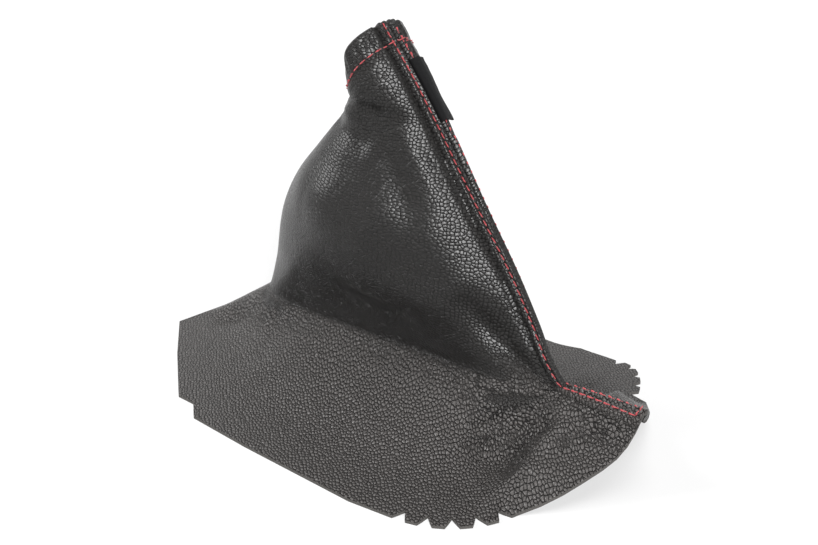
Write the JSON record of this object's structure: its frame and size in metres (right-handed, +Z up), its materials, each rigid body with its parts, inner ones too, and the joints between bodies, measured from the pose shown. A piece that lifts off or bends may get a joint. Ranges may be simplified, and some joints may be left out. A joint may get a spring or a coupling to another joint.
{
  "type": "handbrake boot",
  "caption": "Black leather boot for a car handbrake lever: a flat notched skirt and a tall leaning sleeve closed by a topstitched front seam.",
  "frame": {"origin": "middle of the boot's box, on the surface that the skirt lies on", "axes": "+X along the boot towards its seamed end, +Z up, Y across from side to side"},
  "size_m": [0.2464, 0.1734, 0.1653],
  "materials": {
    "leather": "black leather with a coarse pebbled grain and a satin sheen",
    "red_thread": "twisted polyester sewing thread, matt red",
    "woven_tag": "plain woven black label, bare"
  },
  "bodies": {
    "root": {"leather_boot": "leather", "seam_topstitch": "red_thread", "hem_topstitch": "red_thread", "seam_tag": "woven_tag"}
  },
  "joints": []
}
